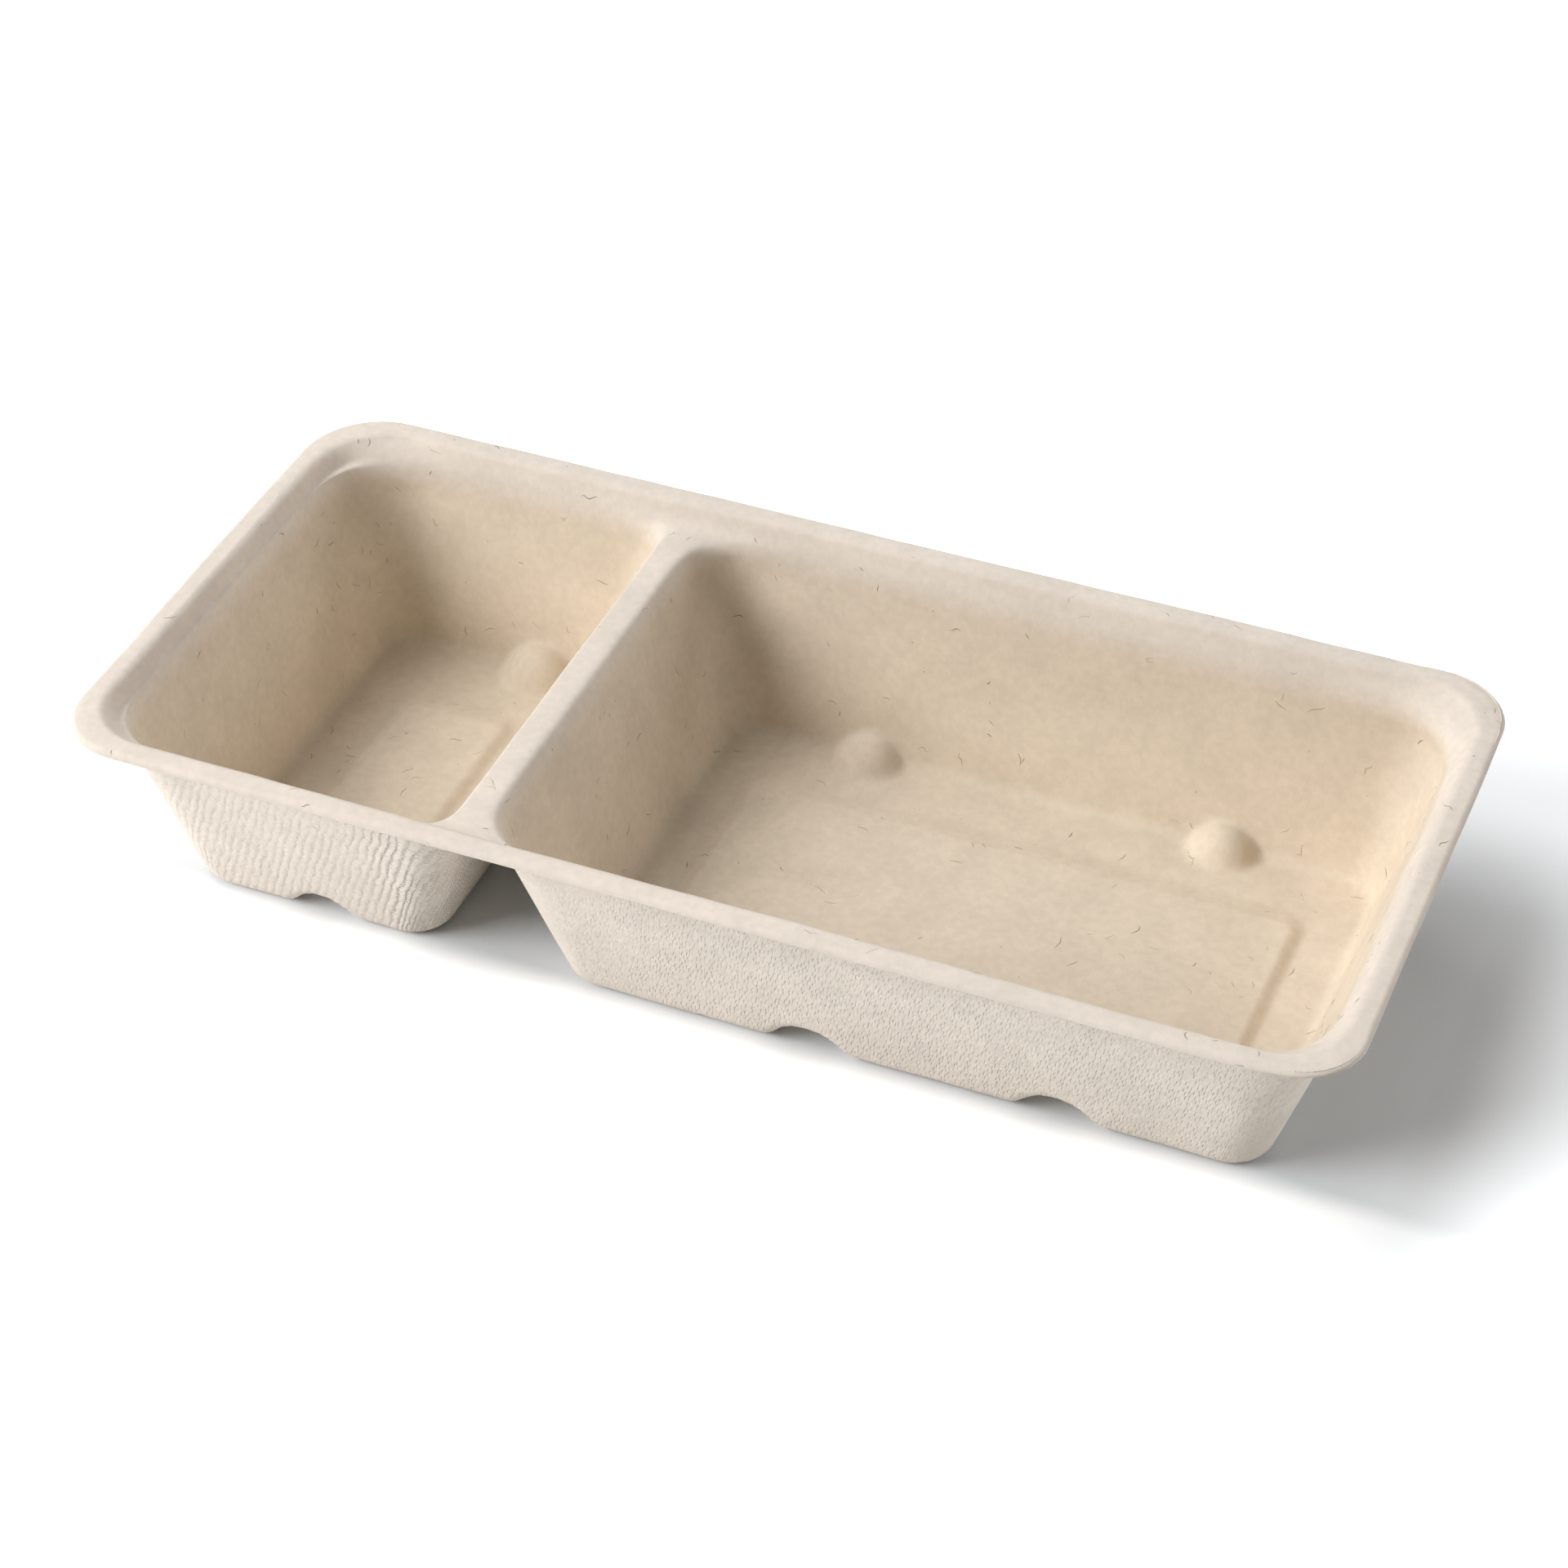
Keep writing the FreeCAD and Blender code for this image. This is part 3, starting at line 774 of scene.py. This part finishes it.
class Finish(Nodes):
    """A material while its nodes are put in."""

    def __init__(self, name, roughness):
        self.material = bpy.data.materials.new(name)
        self.material.use_nodes = True
        super().__init__(self.material.node_tree)
        self.shader = self.nodes["Principled BSDF"]
        self.set(self.shader.inputs["Roughness"], roughness)
        self.set(self.shader.inputs["Specular IOR Level"], SHEEN)

    def place(self):
        """Where a point lies on its own piece, in metres."""
        return self.node("ShaderNodeTexCoord").outputs["Object"]

    def attribute(self, name):
        """A number that the mesh carries."""
        return self.node("ShaderNodeAttribute", {"attribute_name": name}).outputs["Fac"]

    def noise(self, place, scale, detail=2.0, roughness=0.5):
        """Cloudy noise from 0 to 1 at a place."""
        made = self.node("ShaderNodeTexNoise", Vector=place, Scale=scale, Detail=detail, Roughness=roughness)
        return made.outputs["Fac"]

    def spread(self, value, low, high, to_low=0.0, to_high=1.0):
        """Takes the range from low to high smoothly onto another one."""
        ends = {"From_Min": low, "From_Max": high, "To_Min": to_low, "To_Max": to_high}
        smooth = {"interpolation_type": "SMOOTHSTEP"}
        return self.node("ShaderNodeMapRange", smooth, Value=value, **ends).outputs["Result"]

    def reckon(self, operation, *values):
        """A sum on numbers or outputs."""
        made = self.node("ShaderNodeMath", {"operation": operation})
        for socket, value in zip(made.inputs, values):
            self.set(socket, value)
        return made.outputs[0]

    def blend(self, share, first, second, way="MIX"):
        """A colour between two, or the first changed by the second."""
        made = self.node("ShaderNodeMix", {"data_type": "RGBA", "blend_type": way}, Factor=share)
        colours = [socket for socket in made.inputs if socket.type == "RGBA"]
        self.set(colours[0], first)
        self.set(colours[1], second)
        return next(socket for socket in made.outputs if socket.type == "RGBA")

    def times(self, one, other):
        """One number times another."""
        return self.reckon("MULTIPLY", one, other)

    def bump(self, height, depth, strength=1.0, under=None):
        """Turns a height from 0 to 1 into relief of a depth in millimetres."""
        made = self.node("ShaderNodeBump", Height=height, Distance=depth * MM, Strength=strength)
        if under is not None:
            self.set(made.inputs["Normal"], under)
        return made.outputs["Normal"]


def parts_of(finish, vector):
    """The three numbers of a place."""
    return finish.node("ShaderNodeSeparateXYZ", Vector=vector).outputs


def ripple(finish, value, pitch, phase=0.0):
    """A wave from 0 to 1 with one crest every pitch."""
    turned = finish.reckon("MULTIPLY_ADD", value, 2 * math.pi / pitch, phase)
    return finish.reckon("MULTIPLY_ADD", finish.reckon("COSINE", turned), 0.5, 0.5)


def slanted(finish, around, down, lean):
    """Distances across and along lines that lean from upright on the outside of a wall."""
    cosine, sine = math.cos(math.radians(lean)), math.sin(math.radians(lean))
    across = finish.reckon("MULTIPLY_ADD", around, cosine, finish.times(down, sine))
    along = finish.reckon("MULTIPLY_ADD", around, sine, finish.times(down, -cosine))
    return across, along


def pits(finish, around, down):
    """Staggered slender pits, from 0 to 1 at their bottoms, unevenly placed and unevenly deep."""
    across, along = slanted(finish, around, down, PIT_LEAN)
    row = finish.reckon("DIVIDE", along, PIT_ROW)
    gap = finish.reckon("DIVIDE", across, PIT_GAP)
    gap = finish.reckon("ADD", gap, finish.times(row, PIT_STAGGER))
    lattice = finish.node("ShaderNodeCombineXYZ", X=gap, Y=row).outputs[0]
    flat = {"voronoi_dimensions": "2D"}
    cells = finish.node("ShaderNodeTexVoronoi", flat, Vector=lattice, Scale=1.0, Randomness=PIT_STRAY)
    pit_gap, pit_row = parts_of(finish, cells.outputs["Position"])[:2]
    from_row = finish.reckon("SUBTRACT", row, pit_row)
    from_gap = finish.reckon("SUBTRACT", gap, pit_gap)
    sideways = finish.reckon("MULTIPLY_ADD", from_row, -PIT_STAGGER, from_gap)
    wide = finish.times(sideways, PIT_GAP / PIT_HALF_WIDTH)
    long = finish.times(from_row, PIT_ROW / PIT_HALF_LENGTH)
    reach = finish.reckon("MULTIPLY_ADD", wide, wide, finish.times(long, long))
    luck = parts_of(finish, cells.outputs["Color"])[0]
    depth = finish.spread(luck, 0.0, DEEPEST_PIT_LUCK, SHALLOWEST_PIT * PIT_SHARE, PIT_SHARE)
    return finish.times(finish.spread(reach, *PIT_RIM, 1.0, 0.0), depth)


def grooves(finish, place, around, down):
    """Narrow upright grooves with jagged edges, from 0 to 1 at their bottoms."""
    wander = finish.noise(place, *GROOVE_STRAY_NOISE)
    stray = finish.reckon("MULTIPLY_ADD", wander, GROOVE_STRAY, -GROOVE_STRAY / 2)
    across, along = slanted(finish, finish.reckon("ADD", around, stray), down, GROOVE_LEAN)
    jag = finish.reckon("MULTIPLY_ADD", ripple(finish, along, JAG_PITCH), JAG_REACH, across)
    return finish.reckon("POWER", ripple(finish, jag, GROOVE_PITCH), GROOVE_SHARPNESS)


def wire_marks(finish, outside, across_tray):
    """How deep the marks are that the mould's wire mesh leaves on the outside."""
    place = finish.node("ShaderNodeUVMap", {"uv_map": "mould_wire"}).outputs["UV"]
    around, down = parts_of(finish, place)[:2]
    on_dip = finish.spread(across_tray, *GROOVES_END, 1.0, 0.0)
    on_chip = finish.reckon("SUBTRACT", 1.0, on_dip)
    beside_divider = finish.spread(across_tray, *GROOVE_FADE)
    away_from_divider = finish.spread(across_tray, *PIT_FADE)
    patchy = finish.spread(finish.noise(place, *PATCH_NOISE), *PATCH_LEVELS)
    dip_marks = finish.times(grooves(finish, place, around, down), beside_divider)
    chip_marks = finish.times(pits(finish, around, down), away_from_divider)
    dip_marks = finish.times(dip_marks, on_dip)
    chip_marks = finish.times(chip_marks, on_chip)
    both = finish.reckon("ADD", dip_marks, chip_marks)
    return finish.times(finish.times(both, patchy), outside)


def pulp_finish():
    """Unbleached bagasse pulp: smooth and darkened by painted shade deep in the wells; wire-marked outside,
    and painted paler there as painted light.
    """
    finish = Finish("moulded pulp", PULP_ROUGHNESS)
    place = finish.place()
    across_tray, _, height = parts_of(finish, place)
    outside = finish.attribute("outside")
    inside = finish.reckon("SUBTRACT", 1.0, outside)

    # Painted shade: the food side darkens and warms with depth in a well.
    shade_by_height = finish.spread(height, WELL_SHADE_TOP, WELL_SHADE_BOTTOM)
    well_shade = finish.times(shade_by_height, inside)
    # Painted light: the outside takes the paler, lit pulp colour.
    colour = finish.blend(well_shade, finish.blend(outside, PALE_PULP, LIT_OUTER_PULP), SHADED_WELL_PULP)
    from_edge = finish.reckon("ABSOLUTE", finish.reckon("MULTIPLY_ADD", outside, 2.0, -1.0))
    colour = finish.blend(finish.spread(from_edge, *CUT_EDGE_FADE), colour, CUT_EDGE_PULP)

    # The felt comes last, and also gives relief below.
    for noise, levels in ((CLOUDS, CLOUD_LEVELS), (FELT, FELT_LEVELS)):
        felt = finish.noise(place, *noise)
        colour = finish.blend(1.0, colour, grey(finish, finish.spread(felt, *levels)), "MULTIPLY")

    specks = finish.node("ShaderNodeTexVoronoi", Vector=place, Scale=SPECK_SCALE)
    chosen = finish.reckon("LESS_THAN", parts_of(finish, specks.outputs["Color"])[0], SPECK_SHARE)
    dot = finish.spread(specks.outputs["Distance"], *SPECK_RIM, 1.0, 0.0)
    speck = finish.times(finish.times(dot, chosen), SPECK_LEVEL)
    colour = finish.blend(speck, colour, STRAW_SPECK)
    finish.set(finish.shader.inputs["Base Color"], colour)

    soft = finish.bump(finish.noise(place, *COARSE_FELT), *COARSE_RELIEF)
    felted = finish.bump(felt, *FELT_RELIEF, soft)
    grain = finish.times(finish.noise(place, *GRAIN), outside)
    grained = finish.bump(grain, GRAIN_DEPTH, 1.0, felted)
    marks = finish.times(wire_marks(finish, outside, across_tray), -1.0)
    marked = finish.bump(marks, WIRE_DEPTH, 1.0, grained)
    finish.set(finish.shader.inputs["Normal"], marked)
    return finish.material


def grey(finish, level):
    """A grey of a level, to darken or lighten a colour with."""
    return finish.node("ShaderNodeCombineColor", Red=level, Green=level, Blue=level).outputs[0]


def fibre_finish():
    """Stray plant fibres, from straw to dark brown."""
    finish = Finish("plant fibre", FIBRE_ROUGHNESS)
    shade = finish.attribute("fibre_shade")
    place = finish.place()
    streak = finish.spread(finish.noise(place, STREAK_SCALE), *STREAKS)
    tone = finish.reckon("ADD", shade, streak)
    finish.set(finish.shader.inputs["Base Color"], finish.blend(tone, STRAW_FIBRE, DARK_FIBRE))
    return finish.material


# ---- stray fibres

class Tree(Nodes):
    """A geometry tree with named inputs while its nodes are put in."""

    def __init__(self, name, inputs):
        super().__init__(bpy.data.node_groups.new(name, "GeometryNodeTree"))
        for label, kind in inputs:
            self.tree.interface.new_socket(label, in_out="INPUT", socket_type="NodeSocket" + kind)
        self.tree.interface.new_socket("Geometry", in_out="OUTPUT", socket_type="NodeSocketGeometry")
        self.given = self.nodes.new("NodeGroupInput").outputs
        self.result = self.nodes.new("NodeGroupOutput").inputs[0]

    def out(self, kind, settings=None, second=None, **values):
        """Adds a node and gives its first output in use."""
        made = self.node(kind, settings, second, **values)
        return next(socket for socket in made.outputs if socket.enabled)


FOOD_SIDE_BELOW = 0.2
FIBRE_POINTS = 7
FIBRE_SIDES = 5
FIBRE_GIRTHS = {"Min": 0.6, "Max": 1.3}
FIBRE_TIP = 0.35
CURL_SCALE = 520.0

# Each kind of stray fibre, in metres.
FIBRES = {
    "dark_fibres": {
        "Fibres per square metre": 210.0,
        "Shortest": 0.4 * MM,
        "Longest": 1.2 * MM,
        "Girth": 0.060 * MM,
        "Wander": 3.0 * MM,
        "Palest": 0.25,
        "Seed": 11,
    },
    "straw_fibres": {
        "Fibres per square metre": 9000.0,
        "Shortest": 0.7 * MM,
        "Longest": 2.6 * MM,
        "Girth": 0.055 * MM,
        "Wander": 3.0 * MM,
        "Palest": 0.0,
        "Seed": 5,
    },
}


def fibre_tree():
    """Scatters short curved fibres that lie half sunk in the food side of a sheet."""
    numbers = ("Fibres per square metre", "Shortest", "Longest", "Girth", "Wander", "Palest")
    sockets = [("Sheet", "Geometry")] + [(label, "Float") for label in numbers]
    tree = Tree("stray fibres", sockets + [("Seed", "Int"), ("Finish", "Material")])
    given = tree.given
    outside = tree.out("GeometryNodeInputNamedAttribute", {"data_type": "FLOAT"}, Name="outside")
    food_side = tree.out("FunctionNodeCompare", {"operation": "LESS_THAN"}, A=outside, B=FOOD_SIDE_BELOW)
    scatter = tree.node(
        "GeometryNodeDistributePointsOnFaces",
        Mesh=given["Sheet"],
        Selection=food_side,
        Density=given["Fibres per square metre"],
        Seed=given["Seed"],
    )
    line = tree.out("GeometryNodeCurvePrimitiveLine", Start=(-0.5, 0, 0), End=(0.5, 0, 0))
    strand = tree.out("GeometryNodeResampleCurve", Curve=line, Count=FIBRE_POINTS)
    heading = tree.out("FunctionNodeRandomValue", Min=0.0, Max=2 * math.pi, Seed=1)
    turn = tree.out("ShaderNodeCombineXYZ", Z=heading)
    spin = tree.out("FunctionNodeEulerToRotation", Euler=turn)
    facing = tree.out(
        "FunctionNodeRotateRotation",
        {"rotation_space": "LOCAL"},
        Rotation=scatter.outputs["Rotation"],
        Rotate_By=spin,
    )
    length = tree.out("FunctionNodeRandomValue", Min=given["Shortest"], Max=given["Longest"], Seed=2)
    size = tree.out("ShaderNodeCombineXYZ", X=length, Y=1.0, Z=1.0)
    laid = tree.out(
        "GeometryNodeInstanceOnPoints",
        Points=scatter.outputs["Points"],
        Instance=strand,
        Rotation=facing,
        Scale=size,
    )
    on_each = {"data_type": "FLOAT", "domain": "INSTANCE"}
    store = "GeometryNodeStoreNamedAttribute"
    girth_share = tree.out("FunctionNodeRandomValue", Seed=3, **FIBRE_GIRTHS)
    kept = tree.out(store, on_each, Geometry=laid, Name="fibre_girth", Value=girth_share)
    shade = tree.out("FunctionNodeRandomValue", Min=given["Palest"], Max=1.0, Seed=4)
    shaded = tree.out(store, on_each, Geometry=kept, Name="fibre_shade", Value=shade)
    loose = tree.out("GeometryNodeRealizeInstances", Geometry=shaded)
    where = tree.out("GeometryNodeInputPosition")
    drift = tree.node("ShaderNodeTexNoise", Vector=where, Scale=CURL_SCALE, Detail=1.0).outputs["Color"]
    centred = tree.out("ShaderNodeVectorMath", {"operation": "SUBTRACT"}, (0.5, 0.5, 0.5), Vector=drift)
    pushed = tree.out("ShaderNodeVectorMath", {"operation": "SCALE"}, Vector=centred, Scale=given["Wander"])
    curled = tree.out("GeometryNodeSetPosition", Geometry=loose, Offset=pushed)
    on_sheet = tree.out(
        "GeometryNodeSampleNearestSurface",
        {"data_type": "FLOAT_VECTOR"},
        Mesh=given["Sheet"],
        Value=where,
        Sample_Position=where,
    )
    pressed = tree.out("GeometryNodeSetPosition", Geometry=curled, Position=on_sheet)
    along = tree.out("GeometryNodeSplineParameter")
    half_turn = tree.out("ShaderNodeMath", {"operation": "MULTIPLY"}, math.pi, Value=along)
    swell = tree.out("ShaderNodeMath", {"operation": "SINE"}, Value=half_turn)
    taper = tree.out("ShaderNodeMapRange", Value=swell, To_Min=FIBRE_TIP, To_Max=1.0)
    own = tree.out("GeometryNodeInputNamedAttribute", {"data_type": "FLOAT"}, Name="fibre_girth")
    thick = tree.out("ShaderNodeMath", {"operation": "MULTIPLY"}, own, Value=taper)
    ring = tree.out("GeometryNodeCurvePrimitiveCircle", Resolution=FIBRE_SIDES, Radius=given["Girth"])
    body = tree.out("GeometryNodeCurveToMesh", Curve=pressed, Profile_Curve=ring, Scale=thick, Fill_Caps=True)
    smooth = tree.out("GeometryNodeSetShadeSmooth", Geometry=body)
    done = tree.out("GeometryNodeSetMaterial", Geometry=smooth, Material=given["Finish"])
    tree.set(tree.result, done)
    return tree.tree


def add_fibres(name, tray, tree, settings):
    """Runs the fibre tree over the tray and keeps the result as a piece of its own."""
    holder = put_in_scene(name + "_holder", tray.data)
    modifier = holder.modifiers.new("stray fibres", "NODES")
    modifier.node_group = tree
    sockets = {item.name: item.identifier for item in tree.interface.items_tree if item.in_out == "INPUT"}
    for label, value in settings.items():
        modifier[sockets[label]] = value
    evaluated = holder.evaluated_get(bpy.context.evaluated_depsgraph_get())
    mesh = bpy.data.meshes.new_from_object(evaluated)
    bpy.data.objects.remove(holder)
    mesh.name = name
    piece = put_in_scene(name, mesh)
    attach(piece, "root")


# ---- the room

FLOOR_WIDTH = 4.0

# The floor's tone, and the camera's tones for it: darker at the tray's foot as painted shade, and whiter
# beyond the fade.
FLOOR_TONE = 0.90
FLOOR_PAINTED_SHADE_AT_TRAY = 0.71
FLOOR_TONE_BEYOND = 1.40
FOOT_END = 0.103
FOOT_SIDE = 0.036
FLOOR_FADE_START = -0.005
FLOOR_FADE = 0.045
FRONT_FADE_SHARE = 6.5
FLOOR_COOLNESS = 0.03

# Each wide soft lamp: the degrees it stands round the tray and up, and its share of light.
FILL_LAMPS = {
    "left_fill": (180, 60, 0.295),
    "back_left_fill": (135, 50, 0.245),
    "back_right_fill": (45, 14, 0.340),
    "right_fill": (0, 30, 0.140),
}
FILL_WIDTH = 34

# The near lamp: the degrees round and up, how far off, how wide, and its share of light.
KEY_LAMP = (220, 32)
KEY_DISTANCE = 1.30
KEY_WIDTH = 0.72
KEY_LEVEL = 0.885

CAMERA_TURN = 22.38
CAMERA_FALL = 39.306
CAMERA_PLACE = (0.193546, -0.472201, 0.440305)
CAMERA_SENSOR = 36.0
CAMERA_LENS = 88.37
CAMERA_NEAR = 0.01


def beyond(finish, place, edge):
    """How far a place lies past an edge, or nothing."""
    return finish.reckon("MAXIMUM", finish.reckon("SUBTRACT", place, edge), 0.0)


def add_floor():
    """A white floor that keeps the tray's shadow, is darkened round the tray's foot by painted shade, and is
    painted whiter away from the tray.
    """
    points = np.array([(-1, -1, 0), (1, -1, 0), (1, 1, 0), (-1, 1, 0)]) * FLOOR_WIDTH / 2 / MM
    floor = mesh_piece("floor", points, np.array([[0, 1, 2, 3]]))
    finish = Finish("white floor", 1.0)
    place = finish.place()
    along, depthways, _ = parts_of(finish, place)
    past_end = beyond(finish, finish.reckon("ABSOLUTE", along), FOOT_END)
    behind = beyond(finish, depthways, FOOT_SIDE)
    in_front = beyond(finish, finish.times(depthways, -1.0), FOOT_SIDE)
    in_front = finish.times(in_front, FRONT_FADE_SHARE)
    past_side = finish.reckon("ADD", behind, in_front)
    squares = finish.reckon("MULTIPLY_ADD", past_end, past_end, finish.reckon("POWER", past_side, 2.0))
    away = finish.reckon("SQRT", squares)
    # Painted shade: the camera sees the floor darker at the tray's foot, and whiter beyond the fade.
    seen = finish.spread(away, FLOOR_FADE_START, FLOOR_FADE, FLOOR_PAINTED_SHADE_AT_TRAY, FLOOR_TONE_BEYOND)
    rays = finish.nodes.new("ShaderNodeLightPath").outputs["Is Camera Ray"]
    tone = finish.reckon("MULTIPLY_ADD", rays, finish.reckon("SUBTRACT", seen, FLOOR_TONE), FLOOR_TONE)
    cool = finish.times(rays, FLOOR_COOLNESS)
    red = finish.reckon("SUBTRACT", tone, cool)
    blue = finish.reckon("ADD", tone, cool)
    colour = finish.node("ShaderNodeCombineColor", Red=red, Green=tone, Blue=blue).outputs[0]
    paint = finish.node("ShaderNodeBsdfDiffuse", Color=colour)
    finish.set(finish.nodes["Material Output"].inputs["Surface"], paint.outputs[0])
    finish.nodes.remove(finish.shader)
    floor.data.materials.append(finish.material)


def add_world():
    """A dark room that the camera sees as white."""
    world = bpy.data.worlds.new("studio")
    world.use_nodes = True
    nodes = world.node_tree.nodes
    links = world.node_tree.links
    nodes.clear()
    rays = nodes.new("ShaderNodeLightPath")
    light = nodes.new("ShaderNodeBackground")
    light.inputs["Color"].default_value = (1, 1, 1, 1)
    links.new(rays.outputs["Is Camera Ray"], light.inputs["Strength"])
    end = nodes.new("ShaderNodeOutputWorld")
    links.new(light.outputs[0], end.inputs["Surface"])
    bpy.context.scene.world = world


def stand(name, kept, toward, place):
    """Stands a lamp or the camera at a place, with its back in the direction toward."""
    holder = put_in_scene(name, kept)
    holder.location = place
    holder.rotation_mode = "QUATERNION"
    holder.rotation_quaternion = toward.to_track_quat("Z", "Y")
    return holder


def add_lamp(name, toward, level):
    """A wide soft lamp far away; toward is the direction it stands in, level its share of full light."""
    lamp = bpy.data.lights.new(name, "SUN")
    lamp.energy = level * math.pi
    lamp.angle = math.radians(FILL_WIDTH)
    stand(name, lamp, toward, (0, 0, 0))


def add_near_lamp(name, toward):
    """A round soft lamp close by."""
    lamp = bpy.data.lights.new(name, "AREA")
    lamp.shape = "DISK"
    lamp.size = KEY_WIDTH
    lamp.energy = KEY_LEVEL * (math.pi * KEY_DISTANCE) ** 2
    stand(name, lamp, toward, toward * KEY_DISTANCE)


def heading(round_degrees, up_degrees):
    """A direction from its angle round the tray, from the chip end, and its height."""
    turn, rise = math.radians(round_degrees), math.radians(up_degrees)
    return Vector((math.cos(turn) * math.cos(rise), math.sin(turn) * math.cos(rise), math.sin(rise)))


def add_camera():
    """The camera, level with the horizon and looking down on the tray from its front right."""
    turn = math.radians(CAMERA_TURN)
    fall = math.radians(CAMERA_FALL)
    back = Vector((math.sin(turn) * math.cos(fall), -math.cos(turn) * math.cos(fall), math.sin(fall)))
    lens = bpy.data.cameras.new("camera")
    lens.sensor_width = CAMERA_SENSOR
    lens.lens = CAMERA_LENS
    lens.clip_start = CAMERA_NEAR
    bpy.context.scene.camera = stand("camera", lens, back, CAMERA_PLACE)


tray = build_tray()
tray.data.materials.append(pulp_finish())
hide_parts("tray")
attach(tray, "root")

fibre = fibre_finish()
scatter = fibre_tree()
for fibre_name, fibre_sizes in FIBRES.items():
    add_fibres(fibre_name, tray, scatter, {**fibre_sizes, "Finish": fibre})

add_floor()
add_world()
add_near_lamp("key_lamp", heading(*KEY_LAMP))
for lamp_name, (lamp_round, lamp_up, lamp_level) in FILL_LAMPS.items():
    add_lamp(lamp_name, heading(lamp_round, lamp_up), lamp_level)
add_camera()
bpy.context.scene.view_settings.view_transform = "Standard"
